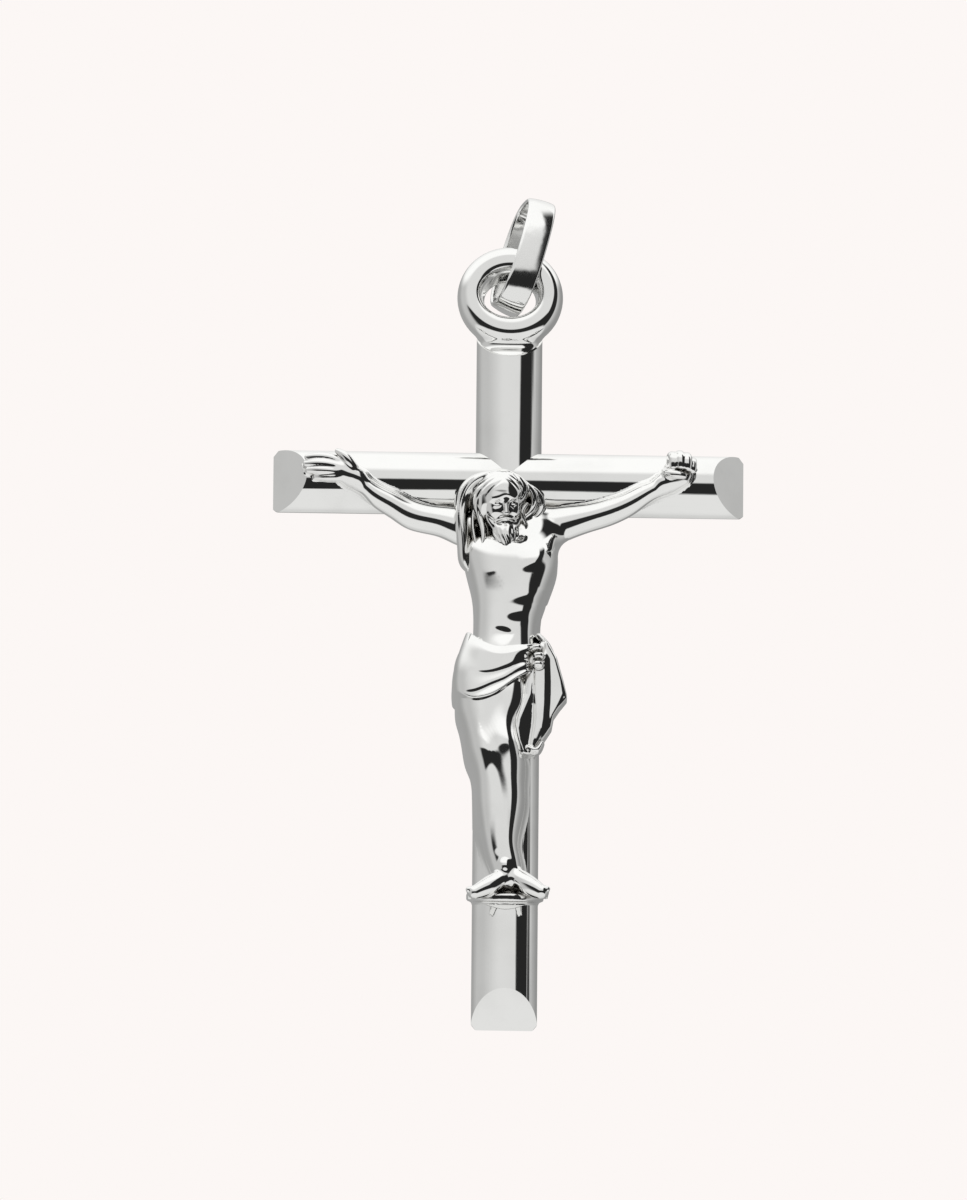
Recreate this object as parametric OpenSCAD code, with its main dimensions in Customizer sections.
// Crucifix pendant in polished silver: two crossed half-round bars with slanted ends,
// an eye, a cast figure that runs into the bars, and a loose oval bail.
// The origin is the place inside the top of the bail where a chain bears.
// +X is to the viewer's right, -Y is the front and +Z is up.

/* [Cross] */
// Length of the cross bar
cross_w = 24; // [21:0.5:30]
// Height of the upright above the axis of the cross bar
upper_h = 8.2; // [7:0.2:12]
// Length of the upright below the axis of the cross bar
lower_h = 29.6; // [26:0.2:36]
// Width of each half-round bar
bar_w = 3.4; // [2.8:0.1:4]
// Depth of each bar, from its flat back to the crest of its round front
bar_d = 1.7; // [1.4:0.1:2]
// Distance that the slanted cut at each bar end runs in from back to front
end_slant = 1.15; // [0.6:0.05:1.6]
// Rounding of the bars' edges along the back and at the ends
edge_r = 0.3; // [0.1:0.05:0.4]

/* [Eye] */
// Outer diameter of the eye
eye_od = 5.4; // [5:0.1:6.4]
// Diameter of the hole through the eye
eye_hole_d = 3; // [2.7:0.1:3.2]
// Depth of the eye, from front to back
eye_d = 1.8; // [1.4:0.1:2]
// Depth that the rim of the eye sinks into the end of the upright
eye_sink = 0.9; // [0.5:0.1:1.1]

/* [Bail] */
// Outer length of the oval bail
bail_l = 6.5; // [6:0.1:8]
// Width of the strip that the bail is bent from
strip_w = 1.43; // [1:0.05:1.5]
// Thickness of the strip
strip_t = 0.45; // [0.3:0.05:0.5]
// Clearance between the eye's hole and the underside of the bail
bail_gap = 0.7; // [0.3:0.05:0.8]
// Clearance between the eye and each strand of the bail
side_gap = 0.1; // [0.05:0.05:0.4]
// Lean of the bail towards the viewer's right
bail_lean = 15; // [0:1:25]
// Turn of the bail about the vertical
bail_turn = 18; // [0:1:18]

/* [Figure] */
// Height of the figure, from its crown to the underside of the foot rest
figure_h = 23; // [21:0.2:25]
// Width of the figure across the chest
chest_w = 4.5; // [4:0.1:5]
// Height of the figure's front above the crest of the bars
relief = 1.9; // [1.5:0.1:2.3]
// Distance from each wrist to the end of the cross bar
wrist_inset = 4.4; // [4:0.1:5.5]
// Width of an arm
arm_w = 1.1; // [0.9:0.05:1.3]
// Width of a thigh
thigh_w = 1.9; // [1.6:0.05:2.1]
// Length of the head without its hair
head_l = 3.9; // [3.5:0.1:4.2]
// Thickness of one finger
finger_t = 0.4; // [0.3:0.05:0.5]
// Thickness of one lock of hair
lock_t = 0.62; // [0.45:0.05:0.7]
// Thickness of one fold of the loincloth
fold_t = 0.55; // [0.4:0.05:0.7]

/* [Hidden] */
silver = "silver";

// Places that follow from the sizes above
figure_d = bar_d + relief;
wrist_x = cross_w / 2 - wrist_inset;
eye_wall = (eye_od - eye_hole_d) / 4;
eye_mid_r = (eye_od + eye_hole_d) / 4;
eye_z = upper_h + eye_od / 2 - eye_sink;
bail_foot = eye_hole_d / 2 - bail_gap;
// Half the way between the bail's strands, which clear the eye however the bail leans and turns
bail_reach = strip_w / 2 * cos(bail_lean) + eye_od / 2 * sin(bail_lean);
bail_in_r = (eye_d / 2 + side_gap + bail_reach * sin(bail_turn)) / cos(bail_turn);
bail_w = 2 * (bail_in_r + strip_t);
seat_up = bail_l - strip_t - bail_foot;
seat = [
    seat_up * sin(bail_lean) * cos(bail_turn),
    seat_up * sin(bail_lean) * sin(bail_turn) - eye_d / 2,
    seat_up * cos(bail_lean) + eye_z
];

// Roundness of the shapes
bar_fn = 64;
eye_fn = 36;
ball_fn = 10;
limb_sides = 12;
strand_sides = 7;
steps = 2;

// Each row of a table of sections is one section of a form.
// Its columns are [across, down, out, half width, half depth]:
// across is to the viewer's right of the middle, down is below the cross bar's axis,
// and out is in front of the flat back. They are shares of the lengths in a unit.
body_unit = [chest_w, figure_h, figure_d, chest_w, figure_d];
arm_unit = [wrist_x, figure_h, figure_d, arm_w, figure_d];
leg_unit = [chest_w, figure_h, figure_d, thigh_w, figure_d];
lock_unit = [chest_w, figure_h, figure_d, lock_t, lock_t];
fold_unit = [chest_w, figure_h, figure_d, fold_t, fold_t];

torso_rows = [
    [0.00, 0.092, 0.42, 0.30, 0.26],
    [0.00, 0.120, 0.40, 0.40, 0.36],
    [0.03, 0.145, 0.37, 0.46, 0.44],
    [0.05, 0.190, 0.34, 0.51, 0.54],
    [0.07, 0.241, 0.34, 0.44, 0.56],
    [0.01, 0.318, 0.32, 0.34, 0.49],
    [-0.02, 0.375, 0.33, 0.33, 0.46],
    [-0.06, 0.431, 0.36, 0.37, 0.49]
];
hip_rows = [
    [-0.09, 0.378, 0.33, 0.38, 0.42],
    [-0.10, 0.412, 0.35, 0.43, 0.51],
    [-0.14, 0.455, 0.38, 0.50, 0.57],
    [-0.19, 0.505, 0.39, 0.47, 0.56],
    [-0.24, 0.545, 0.38, 0.40, 0.53]
];
left_arm_rows = [
    [-0.18, 0.130, 0.37, 0.95, 0.42],
    [-0.34, 0.122, 0.37, 0.74, 0.38],
    [-0.46, 0.108, 0.38, 0.57, 0.34],
    [-0.58, 0.098, 0.39, 0.52, 0.31],
    [-0.69, 0.083, 0.41, 0.54, 0.29],
    [-0.81, 0.062, 0.43, 0.54, 0.27],
    [-0.92, 0.040, 0.43, 0.45, 0.24],
    [-1.01, 0.021, 0.43, 0.38, 0.22]
];
right_arm_rows = [
    [0.10, 0.130, 0.37, 1.00, 0.42],
    [0.26, 0.118, 0.37, 0.84, 0.40],
    [0.39, 0.104, 0.38, 0.63, 0.34],
    [0.50, 0.092, 0.39, 0.52, 0.31],
    [0.60, 0.080, 0.40, 0.48, 0.29],
    [0.73, 0.060, 0.42, 0.52, 0.28],
    [0.86, 0.037, 0.43, 0.46, 0.25],
    [0.98, 0.015, 0.43, 0.38, 0.22]
];
left_leg_rows = [
    [-0.34, 0.487, 0.50, 0.66, 0.42],
    [-0.36, 0.554, 0.52, 0.54, 0.40],
    [-0.31, 0.605, 0.54, 0.47, 0.38],
    [-0.26, 0.657, 0.60, 0.35, 0.33],
    [-0.25, 0.690, 0.62, 0.34, 0.31],
    [-0.22, 0.739, 0.50, 0.33, 0.29],
    [-0.17, 0.795, 0.44, 0.34, 0.30],
    [-0.11, 0.862, 0.44, 0.27, 0.25],
    [-0.08, 0.920, 0.48, 0.24, 0.22],
    [-0.06, 0.956, 0.52, 0.26, 0.23]
];
right_leg_rows = [
    [0.10, 0.487, 0.50, 0.66, 0.42],
    [0.02, 0.554, 0.53, 0.52, 0.42],
    [-0.01, 0.605, 0.56, 0.46, 0.40],
    [0.00, 0.657, 0.62, 0.38, 0.34],
    [0.02, 0.685, 0.64, 0.35, 0.32],
    [0.07, 0.739, 0.50, 0.33, 0.30],
    [0.09, 0.792, 0.44, 0.35, 0.31],
    [0.06, 0.860, 0.44, 0.27, 0.25],
    [0.06, 0.920, 0.46, 0.24, 0.22],
    [0.09, 0.956, 0.50, 0.26, 0.22]
];
left_foot_rows = [
    [-0.03, 0.946, 0.50, 0.26, 0.20],
    [-0.17, 0.968, 0.60, 0.27, 0.17],
    [-0.33, 0.984, 0.66, 0.24, 0.14],
    [-0.44, 0.990, 0.64, 0.15, 0.09]
];
right_foot_rows = [
    [0.09, 0.948, 0.50, 0.26, 0.20],
    [0.20, 0.968, 0.58, 0.29, 0.18],
    [0.33, 0.982, 0.64, 0.27, 0.15],
    [0.42, 0.988, 0.64, 0.17, 0.10]
];
beard_rows = [
    [-0.13, 0.118, 0.80, 1.30, 0.80],
    [-0.11, 0.144, 0.84, 1.15, 0.75],
    [-0.07, 0.169, 0.86, 0.95, 0.65],
    [-0.03, 0.190, 0.84, 0.55, 0.45],
    [-0.01, 0.205, 0.80, 0.20, 0.20]
];
locks = [
    [
        [-0.16, 0.012, 0.62, 0.80, 0.80],
        [-0.34, 0.046, 0.60, 0.90, 0.90],
        [-0.46, 0.092, 0.58, 0.80, 0.85],
        [-0.51, 0.144, 0.56, 0.65, 0.75],
        [-0.55, 0.200, 0.50, 0.55, 0.60],
        [-0.53, 0.238, 0.44, 0.25, 0.30]
    ],
    [
        [-0.20, 0.015, 0.68, 0.70, 0.60],
        [-0.34, 0.062, 0.72, 0.60, 0.55],
        [-0.40, 0.113, 0.72, 0.50, 0.50],
        [-0.44, 0.164, 0.66, 0.50, 0.50],
        [-0.47, 0.221, 0.54, 0.45, 0.45],
        [-0.43, 0.246, 0.48, 0.20, 0.25]
    ],
    [
        [-0.22, 0.021, 0.78, 0.60, 0.50],
        [-0.32, 0.082, 0.80, 0.45, 0.45],
        [-0.35, 0.139, 0.78, 0.45, 0.45],
        [-0.38, 0.190, 0.66, 0.40, 0.40],
        [-0.34, 0.231, 0.56, 0.18, 0.20]
    ],
    [
        [-0.02, 0.010, 0.62, 0.75, 0.60],
        [0.13, 0.036, 0.66, 0.65, 0.65],
        [0.22, 0.072, 0.66, 0.60, 0.65],
        [0.25, 0.113, 0.64, 0.50, 0.60],
        [0.22, 0.144, 0.62, 0.25, 0.30]
    ],
    [
        [0.02, 0.015, 0.50, 0.80, 0.80],
        [0.20, 0.046, 0.50, 0.85, 0.80],
        [0.30, 0.087, 0.50, 0.70, 0.75],
        [0.32, 0.123, 0.48, 0.35, 0.40]
    ]
];
folds = [
    [
        [-0.50, 0.392, 0.48, 0.65, 0.60],
        [-0.32, 0.406, 0.76, 0.65, 0.60],
        [-0.02, 0.430, 0.90, 0.60, 0.55],
        [0.24, 0.424, 0.78, 0.45, 0.45]
    ],
    [
        [-0.60, 0.482, 0.52, 0.60, 0.60],
        [-0.40, 0.488, 0.80, 0.65, 0.55],
        [-0.10, 0.474, 0.92, 0.60, 0.55],
        [0.14, 0.451, 0.88, 0.50, 0.50],
        [0.28, 0.435, 0.78, 0.40, 0.40]
    ],
    [
        [-0.58, 0.535, 0.40, 0.45, 0.45],
        [-0.48, 0.525, 0.74, 0.55, 0.50],
        [-0.22, 0.503, 0.88, 0.55, 0.50],
        [0.06, 0.478, 0.92, 0.50, 0.50],
        [0.26, 0.447, 0.82, 0.40, 0.40]
    ]
];
pleats = [
    [
        [0.29, 0.441, 0.74, 0.50, 0.50],
        [0.27, 0.513, 0.70, 0.50, 0.60],
        [0.20, 0.595, 0.62, 0.50, 0.60],
        [0.24, 0.662, 0.52, 0.30, 0.40]
    ],
    [
        [0.30, 0.441, 0.72, 0.50, 0.50],
        [0.34, 0.513, 0.66, 0.60, 0.70],
        [0.34, 0.595, 0.58, 0.60, 0.70],
        [0.31, 0.659, 0.50, 0.35, 0.45]
    ],
    [
        [0.32, 0.441, 0.66, 0.50, 0.50],
        [0.42, 0.503, 0.56, 0.60, 0.70],
        [0.46, 0.564, 0.48, 0.65, 0.70],
        [0.41, 0.621, 0.42, 0.40, 0.50]
    ],
    [
        [0.33, 0.436, 0.56, 0.50, 0.60],
        [0.47, 0.482, 0.42, 0.60, 0.70],
        [0.56, 0.534, 0.34, 0.60, 0.70],
        [0.56, 0.575, 0.30, 0.40, 0.50]
    ]
];
knot_rows = [
    [0.28, 0.416, 0.72, 0.45, 0.50],
    [0.31, 0.431, 0.76, 0.70, 0.65],
    [0.31, 0.451, 0.76, 0.62, 0.60],
    [0.29, 0.468, 0.72, 0.35, 0.40]
];

// The head and its hair are balls on one axis, and the nose is on the face between them.
// Each ball's columns are [across, down, out, half width, half depth, half height]:
// the first three are shares as in the tables above, the others are shares of head_l.
head_ball = [-0.13, 0.090, 0.70, 0.33, 0.36, 0.50];
hair_ball = [-0.14, 0.062, 0.60, 0.40, 0.36, 0.40];
// Angles at which the head bows, tilts and turns to the viewer's right
head_turn = [18, 9, 12];
// The bridge and the tip of the nose, as [across, back, up, thickness] in shares of head_l
nose = [[0, -0.33, -0.02, 0.08], [0, -0.39, -0.19, 0.14]];

// Share of figure_d that the hands' middles lie in front of the back
hand_out = 0.6;
// Each palm is two balls, as [across, back, up] from the wrist in finger thicknesses,
// with the ball's size as a share of arm_w.
left_palm = [[-0.2, 0, -1, 0.7], [-2.4, -0.3, -0.1, 0.85]];
right_palm = [[0.1, 0, -0.8, 0.7], [2.1, -0.2, 0.3, 1.25]];
// Each finger is its knuckle and its tip, as [across, back, up] in finger thicknesses
left_fingers = [
    [[-2.6, -0.2, 0.90], [-6.2, 0.3, 1.50]],
    [[-2.6, -0.2, 0.35], [-6.0, 0.3, 0.75]],
    [[-2.6, -0.2, -0.20], [-5.6, 0.3, 0.00]],
    [[-2.6, -0.2, -0.75], [-5.0, 0.3, -0.75]],
    [[-1.2, -0.6, 0.60], [-2.9, -1.1, 1.60]]
];
right_fingers = [
    [[1.0, -0.4, 2.1], [1.4, -2.0, 0.5]],
    [[1.9, -0.4, 2.3], [2.2, -2.1, 0.5]],
    [[2.8, -0.4, 2.2], [2.9, -2.0, 0.5]],
    [[3.6, -0.4, 1.9], [3.6, -1.8, 0.4]],
    [[0.5, -0.6, 0.2], [2.0, -1.9, -0.7]]
];

// The foot rest as [height, width, depth], in shares of figure_h, chest_w and figure_d,
// with the share of figure_h that its back lies below the cross bar's axis
rest = [0.018, 0.88, 0.74];
rest_down = 0.964;
// Angle at which the foot rest slopes down to the front
rest_slope = 20;

// One point of a smooth curve through the rows, a share t of the way from row i to the next
function between(rows, i, t) =
    let (
        a = rows[max(i - 1, 0)],
        b = rows[i],
        c = rows[i + 1],
        d = rows[min(i + 2, len(rows) - 1)]
    )
    b + (c - a) * t / 2 + (2 * a - 5 * b + 4 * c - d) * t * t / 2
        + (3 * b - a - 3 * c + d) * t * t * t / 2;

// The rows of a table in millimetres, with smooth rows put in between
function smooth_rows(table, unit) =
    let (rows = [for (row = table) [for (i = [0:4]) row[i] * unit[i]]])
    [
        for (i = [0:len(rows) - 2], s = [0:steps - 1]) between(rows, i, s / steps),
        rows[len(rows) - 1]
    ];

// The way that the rows run at row i, across and up
function heading(rows, i) =
    let (
        a = rows[max(i - 1, 0)],
        b = rows[min(i + 1, len(rows) - 1)],
        run = [b[0] - a[0], a[1] - b[1]]
    )
    run / norm(run);

// An oval section across the way
function oval(row, way, sides) = [
    for (i = [0:sides - 1])
        let (a = 360 * i / sides)
        [
            row[0] - way[1] * row[3] * cos(a),
            -row[2] - row[4] * sin(a),
            -row[1] + way[0] * row[3] * cos(a)
        ]
];

// A section with an oval front and straight flanks that run down to the flat back
function arch(row, way, sides) = [
    for (i = [0:sides])
        let (a = 180 * i / sides)
        [
            row[0] - way[1] * row[3] * cos(a),
            -row[2] - row[4] * sin(a),
            -row[1] + way[0] * row[3] * cos(a)
        ],
    [row[0] + way[1] * row[3], 0, -row[1] - way[0] * row[3]],
    [row[0] - way[1] * row[3], 0, -row[1] + way[0] * row[3]]
];

// A closed skin over sections that have as many points each
module skin(sections) {
    n = len(sections[0]);
    last = len(sections) - 1;
    polyhedron(
        points = [for (section = sections, point = section) point],
        faces = concat(
            [[for (j = [0:n - 1]) j]],
            [[for (j = [n - 1:-1:0]) last * n + j]],
            [
                for (i = [0:last - 1], j = [0:n - 1])
                    let (k = (j + 1) % n)
                    [i * n + j, (i + 1) * n + j, (i + 1) * n + k, i * n + k]
            ]
        )
    );
}

// A form of oval sections, such as a foot or a lock of hair
module strand(table, unit, sides = strand_sides) {
    rows = smooth_rows(table, unit);
    skin([for (i = [0:len(rows) - 1]) oval(rows[i], heading(rows, i), sides)]);
}

// A form that stands up from the flat back, such as the torso or an arm
module raised(table, unit, sides = limb_sides) {
    rows = smooth_rows(table, unit);
    skin([for (i = [0:len(rows) - 1]) arch(rows[i], heading(rows, i), sides)]);
}

// The half-round profile of a bar, with its back on the X axis
module bar_profile() {
    offset(r = edge_r) offset(delta = -edge_r) intersection() {
        scale([bar_w / 2, bar_d]) circle(r = 1, $fn = bar_fn);
        translate([-bar_w / 2, 0]) square([bar_w, bar_d]);
    }
}

// The side view of a bar from one end to the other, with its slanted ends and rounded tips
module bar_side(low, high) {
    tip_angle = atan(bar_d / end_slant);
    tip_loss = edge_r / tan(tip_angle / 2) - edge_r;
    offset(r = edge_r, $fn = ball_fn * 2) offset(delta = -edge_r) polygon([
        [low - tip_loss, 0],
        [high + tip_loss, 0],
        [high + tip_loss - end_slant, bar_d],
        [low - tip_loss + end_slant, bar_d]
    ]);
}

// One bar along Z, from low to high
module bar(low, high) {
    intersection() {
        translate([0, 0, low]) linear_extrude(high - low) mirror([0, 1]) bar_profile();
        rotate([0, -90, 0]) linear_extrude(bar_w, center = true) mirror([0, 1]) bar_side(low, high);
    }
}

// The two crossed bars
module bars() {
    bar(-lower_h, upper_h);
    rotate([0, 90, 0]) bar(-cross_w / 2, cross_w / 2);
}

// The eye, a fat ring that is sunk into the end of the upright
module eye() {
    translate([0, -eye_d / 2, eye_z]) rotate([90, 0, 0])
        rotate_extrude($fn = eye_fn)
        translate([eye_mid_r, 0]) scale([eye_wall, eye_d / 2]) circle(r = 1, $fn = eye_fn / 2);
}

// Turns what follows with the head, about the middle of one of its balls
module at_head(ball) {
    translate([ball[0] * chest_w, -ball[2] * figure_d, -ball[1] * figure_h])
        rotate(head_turn) children();
}

// One of the balls that make up the head
module head_part(ball) {
    at_head(ball) scale([ball[3], ball[4], ball[5]] * head_l) sphere(r = 1, $fn = ball_fn * 2);
}

// The bowed head, turned to the viewer's right
module head() {
    head_part(head_ball);
    at_head(head_ball) hull() {
        for (place = nose)
            translate([place[0], place[1], place[2]] * head_l)
            sphere(d = place[3] * head_l, $fn = ball_fn);
    }
    strand(beard_rows, lock_unit);
}

// The hair, lock by lock
module hair() {
    head_part(hair_ball);
    for (lock = locks) strand(lock, lock_unit);
}

// The torso, down into the loincloth
module torso() {
    raised(torso_rows, body_unit, sides = limb_sides * 1.5);
}

// A palm with its fingers
module hand(palm, fingers) {
    hull() {
        for (ball = palm)
            translate([ball[0], ball[1], ball[2]] * finger_t)
            sphere(d = ball[3] * arm_w, $fn = ball_fn);
    }
    for (finger = fingers) hull() {
        for (place = finger) translate(place * finger_t) sphere(d = finger_t, $fn = ball_fn);
    }
}

// Both arms, with an open hand at the viewer's left and a curled one at the right
module arms() {
    raised(left_arm_rows, arm_unit);
    raised(right_arm_rows, arm_unit);
    translate([-wrist_x, -hand_out * figure_d, 0]) hand(left_palm, left_fingers);
    translate([wrist_x, -hand_out * figure_d, 0]) hand(right_palm, right_fingers);
}

// The loincloth with its folds, its knot and the pleats that hang from it
module loincloth() {
    raised(hip_rows, body_unit, sides = limb_sides * 1.5);
    for (fold = folds) strand(fold, fold_unit);
    for (pleat = pleats) raised(pleat, fold_unit, sides = strand_sides);
    strand(knot_rows, fold_unit);
}

// Both legs with their feet
module legs() {
    raised(left_leg_rows, leg_unit);
    raised(right_leg_rows, leg_unit);
    strand(left_foot_rows, leg_unit, sides = limb_sides);
    strand(right_foot_rows, leg_unit, sides = limb_sides);
}

// The foot rest under the feet, a half oval that slopes down to the front
module foot_rest() {
    size = [rest[1] * chest_w, rest[2] * figure_d, rest[0] * figure_h];
    intersection() {
        translate([0, 0, -rest_down * figure_h]) rotate([rest_slope, 0, 0])
            translate([0, 0, -size[2]]) linear_extrude(size[2])
            scale([size[0] / 2, size[1]]) circle(r = 1, $fn = bar_fn);
        translate([-size[0], -2 * size[1], -2 * figure_h])
            cube([2 * size[0], 2 * size[1], 2 * figure_h]);
    }
}

// Cross, eye and figure, soldered and cast into one
module crucifix() {
    color(silver) translate(-seat) {
        bars();
        eye();
        head();
        hair();
        torso();
        arms();
        loincloth();
        legs();
        foot_rest();
    }
}

// A stadium that stands on the X axis, with round ends
module stadium(width, height) {
    translate([0, width / 2]) circle(d = width, $fn = bar_fn);
    translate([0, height - width / 2]) circle(d = width, $fn = bar_fn);
    translate([-width / 2, width / 2]) square([width, height - width]);
}

// The bail, a closed oval of flat strip that hangs loosely in the eye
module bail() {
    color(silver) translate([0, -eye_d / 2, eye_z] - seat)
        rotate([0, 0, bail_turn]) rotate([0, bail_lean, 0])
        translate([0, 0, -bail_foot]) rotate([90, 0, 90])
        linear_extrude(strip_w, center = true) difference() {
            stadium(bail_w, bail_l);
            translate([0, strip_t]) stadium(bail_w - 2 * strip_t, bail_l - 2 * strip_t);
        }
}

crucifix();
bail();
